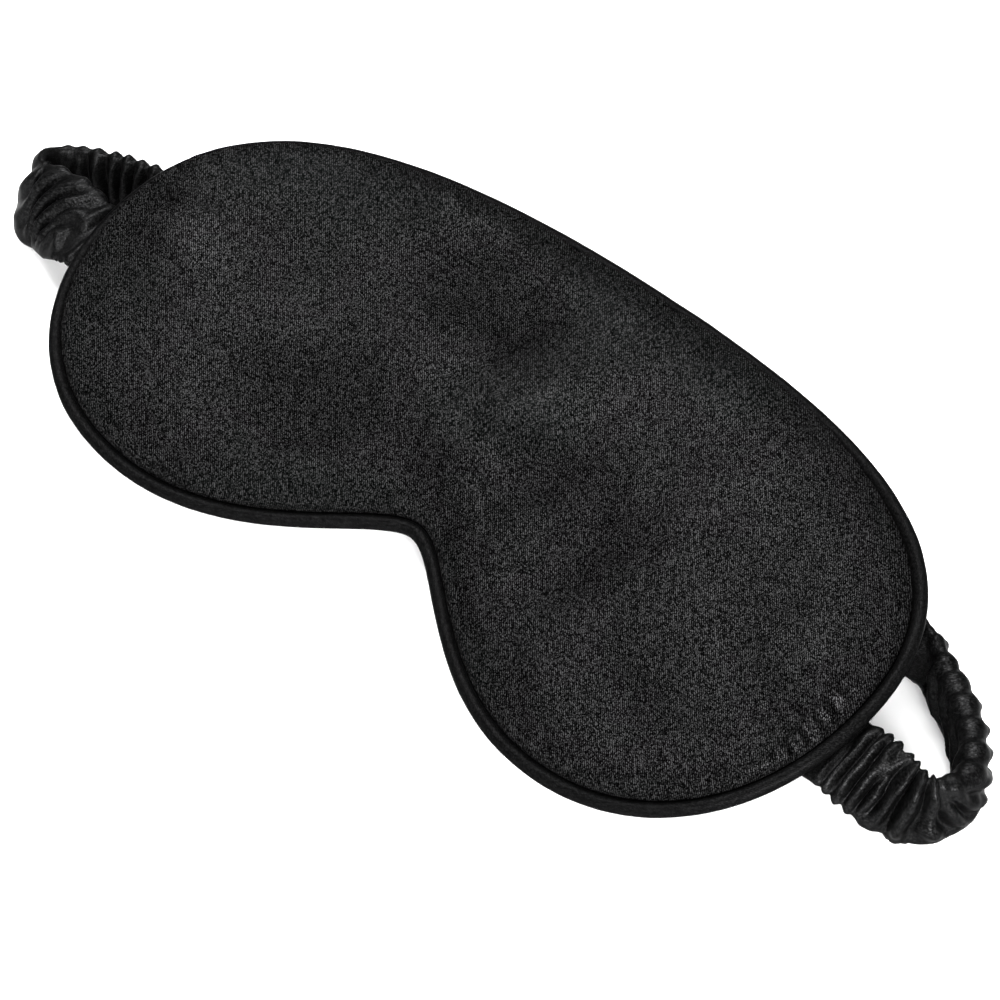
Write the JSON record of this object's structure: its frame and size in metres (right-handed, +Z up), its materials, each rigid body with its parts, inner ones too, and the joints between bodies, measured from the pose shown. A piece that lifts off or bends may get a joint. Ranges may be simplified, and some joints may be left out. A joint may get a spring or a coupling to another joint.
{
  "type": "sleep eye mask",
  "caption": "Padded satin sleep mask with a piped edge, a nose recess and a ruched elastic head strap sewn in at both ends.",
  "frame": {"origin": "on the table under the middle of the mask, at the bottom centre of its box", "axes": "+X along the mask's length towards its right end, +Y towards the brow edge, +Z up from the table, out of the front of the mask"},
  "size_m": [0.2654, 0.0983, 0.0298],
  "materials": {
    "black_satin": "woven satin, soft sheen",
    "black_lining": "dense matt blackout cloth",
    "white_wadding": "soft polyester wadding",
    "white_cord": "twisted cotton cord",
    "black_thread": "sewing thread",
    "black_elastic": "knitted elastic, ribbed"
  },
  "bodies": {
    "mask": {"front_panel": "black_satin", "rear_panel": "black_satin", "blackout_lining": "black_lining", "padding": "white_wadding", "piping_cover": "black_satin", "piping_cord": "white_cord", "seam_thread": "black_thread", "strap_tack_left": "black_thread", "strap_tack_right": "black_thread", "strap_sleeve_left": "black_satin", "strap_sleeve_right": "black_satin", "strap_elastic_left": "black_elastic", "strap_elastic_right": "black_elastic"},
    "strap_back": {"strap_sleeve_back": "black_satin", "strap_elastic_back": "black_elastic"}
  },
  "joints": [
    {"name": "strap_stretch", "type": "slide", "parent": "mask", "child": "strap_back", "axis": [0, 1, 0], "range_m": [0, 0.09], "stiffness_N_per_m": 45, "deforming": ["strap_sleeve_left", "strap_sleeve_right", "strap_elastic_left", "strap_elastic_right"]}
  ]
}
